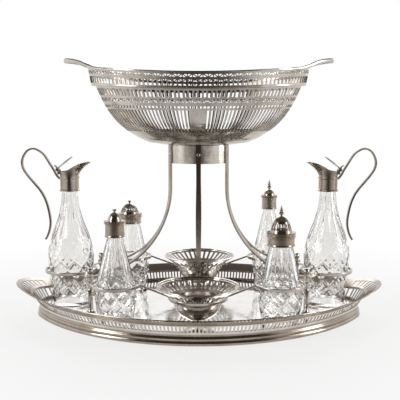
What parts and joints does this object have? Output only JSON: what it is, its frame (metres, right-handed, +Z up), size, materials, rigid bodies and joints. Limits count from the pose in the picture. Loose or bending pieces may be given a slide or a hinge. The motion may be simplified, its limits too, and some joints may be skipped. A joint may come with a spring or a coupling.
{
  "type": "epergne",
  "caption": "Silver epergne: oval galleried tray with a ring frame of glass jugs, casters and pierced dishes, under a strap stand that carries a pierced boat-shaped basket.",
  "frame": {"origin": "on the table, under the middle of the tray", "axes": "+X along the tray from handle to handle, +Y away from the front, +Z up"},
  "size_m": [0.44, 0.2902, 0.305],
  "materials": {
    "silver": "polished silver, softly aged",
    "glass": "clear cut glass"
  },
  "bodies": {
    "tray_frame": {"tray_floor": "silver", "foot_moulding": "silver", "gallery_front": "silver", "gallery_back": "silver", "end_handle_left": "silver", "end_handle_right": "silver", "post_front_left": "silver", "post_front_right": "silver", "post_back_left": "silver", "post_back_right": "silver", "post_finials": "silver", "frame_nuts": "silver", "jug_ring_left": "silver", "jug_ring_right": "silver", "caster_ring_front_left": "silver", "caster_ring_front_right": "silver", "caster_ring_back_left": "silver", "caster_ring_back_right": "silver", "dish_ring_front": "silver", "dish_ring_back": "silver", "leg_front_left": "silver", "leg_front_right": "silver", "leg_back_left": "silver", "leg_back_right": "silver", "strut_front": "silver", "strut_back": "silver", "collar_band": "silver", "band_rivets": "silver"},
    "basket": {"basket_base": "silver", "basket_bowl": "silver", "basket_collar": "silver", "basket_spigot": "silver", "basket_handle_left": "silver", "basket_handle_right": "silver"},
    "left_jug": {"left_jug_glass": "glass", "left_jug_collar": "silver", "left_jug_lip": "silver", "left_jug_hinge_pin": "silver", "left_jug_handle": "silver"},
    "left_jug_lid": {"left_jug_lid": "silver"},
    "right_jug": {"right_jug_glass": "glass", "right_jug_collar": "silver", "right_jug_lip": "silver", "right_jug_hinge_pin": "silver", "right_jug_handle": "silver"},
    "right_jug_lid": {"right_jug_lid": "silver"},
    "front_left_caster": {"front_left_caster_glass": "glass", "front_left_caster_sleeve": "silver"},
    "front_left_caster_cap": {"front_left_caster_cap": "silver"},
    "front_right_caster": {"front_right_caster_glass": "glass", "front_right_caster_sleeve": "silver"},
    "front_right_caster_cap": {"front_right_caster_cap": "silver"},
    "back_left_caster": {"back_left_caster_glass": "glass", "back_left_caster_sleeve": "silver"},
    "back_left_caster_cap": {"back_left_caster_cap": "silver"},
    "back_right_caster": {"back_right_caster_glass": "glass", "back_right_caster_sleeve": "silver"},
    "back_right_caster_cap": {"back_right_caster_cap": "silver"},
    "dish_front": {"dish_front": "silver"},
    "dish_back": {"dish_back": "silver"}
  },
  "joints": [
    {"name": "basket_lift", "type": "slide", "parent": "tray_frame", "child": "basket", "axis": [0, 0, 1], "range_m": [0, 0.03]},
    {"name": "left_jug_lift", "type": "slide", "parent": "tray_frame", "child": "left_jug", "axis": [0, 0, 1], "range_m": [0, 0.06]},
    {"name": "left_lid_hinge", "type": "hinge", "parent": "left_jug", "child": "left_jug_lid", "pos_m": [-0.1677, 0, 0.1749], "axis": [0, -1, 0], "range_deg": [-38, 8]},
    {"name": "right_jug_lift", "type": "slide", "parent": "tray_frame", "child": "right_jug", "axis": [0, 0, 1], "range_m": [0, 0.06]},
    {"name": "right_lid_hinge", "type": "hinge", "parent": "right_jug", "child": "right_jug_lid", "pos_m": [0.1677, 0, 0.1749], "axis": [0, 1, 0], "range_deg": [-38, 8]},
    {"name": "front_left_caster_lift", "type": "slide", "parent": "tray_frame", "child": "front_left_caster", "axis": [0, 0, 1], "range_m": [0, 0.06]},
    {"name": "front_left_cap_lift", "type": "slide", "parent": "front_left_caster", "child": "front_left_caster_cap", "axis": [0, 0, 1], "range_m": [0, 0.02]},
    {"name": "front_right_caster_lift", "type": "slide", "parent": "tray_frame", "child": "front_right_caster", "axis": [0, 0, 1], "range_m": [0, 0.06]},
    {"name": "front_right_cap_lift", "type": "slide", "parent": "front_right_caster", "child": "front_right_caster_cap", "axis": [0, 0, 1], "range_m": [0, 0.02]},
    {"name": "back_left_caster_lift", "type": "slide", "parent": "tray_frame", "child": "back_left_caster", "axis": [0, 0, 1], "range_m": [0, 0.06]},
    {"name": "back_left_cap_lift", "type": "slide", "parent": "back_left_caster", "child": "back_left_caster_cap", "axis": [0, 0, 1], "range_m": [0, 0.02]},
    {"name": "back_right_caster_lift", "type": "slide", "parent": "tray_frame", "child": "back_right_caster", "axis": [0, 0, 1], "range_m": [0, 0.06]},
    {"name": "back_right_cap_lift", "type": "slide", "parent": "back_right_caster", "child": "back_right_caster_cap", "axis": [0, 0, 1], "range_m": [0, 0.02]},
    {"name": "dish_front_lift", "type": "slide", "parent": "tray_frame", "child": "dish_front", "axis": [0, 0, 1], "range_m": [0, 0.04]},
    {"name": "dish_back_lift", "type": "slide", "parent": "tray_frame", "child": "dish_back", "axis": [0, 0, 1], "range_m": [0, 0.04]}
  ]
}
